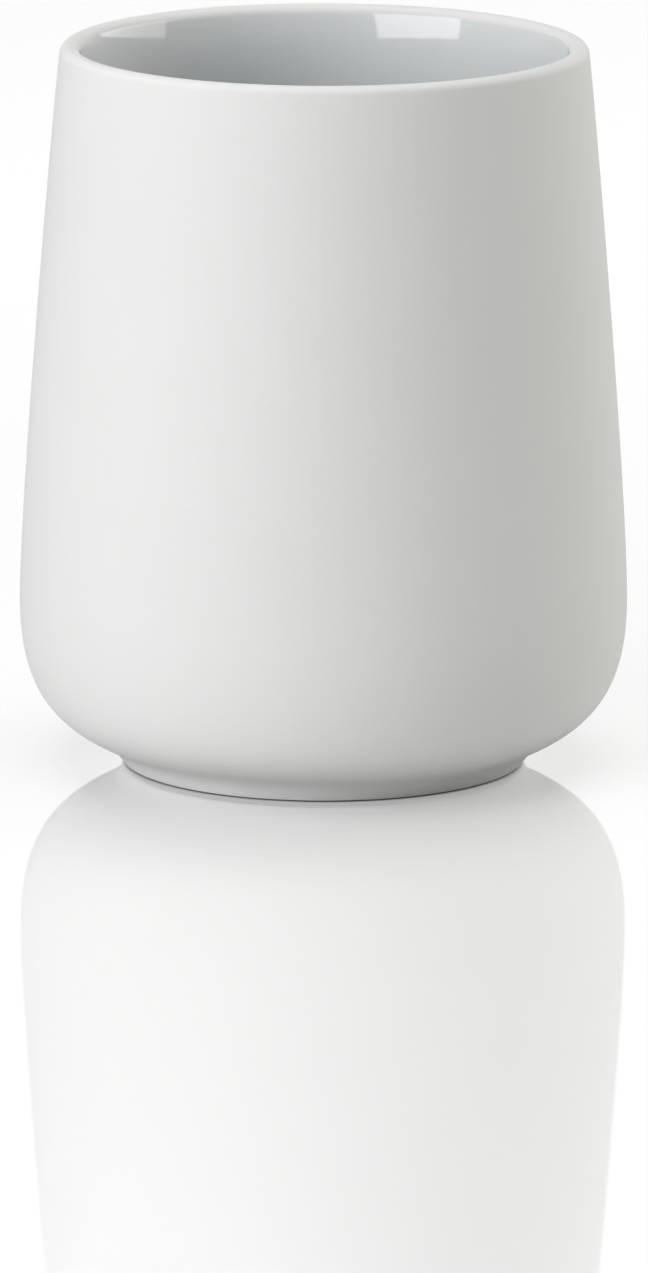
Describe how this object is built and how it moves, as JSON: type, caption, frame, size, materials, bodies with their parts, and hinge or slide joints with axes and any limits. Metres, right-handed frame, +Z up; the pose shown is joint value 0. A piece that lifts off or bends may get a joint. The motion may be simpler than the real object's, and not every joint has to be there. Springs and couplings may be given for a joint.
{
  "type": "bathroom tumbler",
  "caption": "Handleless ceramic bathroom tumbler: matte soft-touch outside, glossy glazed inside, rounded lip, low swelling belly and a small narrow foot on a soft ring.",
  "frame": {"origin": "middle of the plane that the tumbler stands on, on the cup's axis, at the lower face of the soft ring", "axes": "+Z up along the cup's axis, out of the mouth; X and Y are free because the cup is round"},
  "size_m": [0.0846, 0.0846, 0.101],
  "materials": {
    "ceramic": "bare fired stoneware, fine dry grain",
    "soft_touch": "matte soft-touch lacquer, very light warm grey",
    "glaze": "glossy glaze, cool light grey",
    "adhesive": "pale double-sided film",
    "soft_ring": "matte grey silicone"
  },
  "bodies": {
    "root": {"ceramic_body": "ceramic", "soft_touch_coat": "soft_touch", "inner_glaze": "glaze", "base_glaze": "glaze", "ring_adhesive": "adhesive", "non_slip_ring": "soft_ring"}
  },
  "joints": []
}
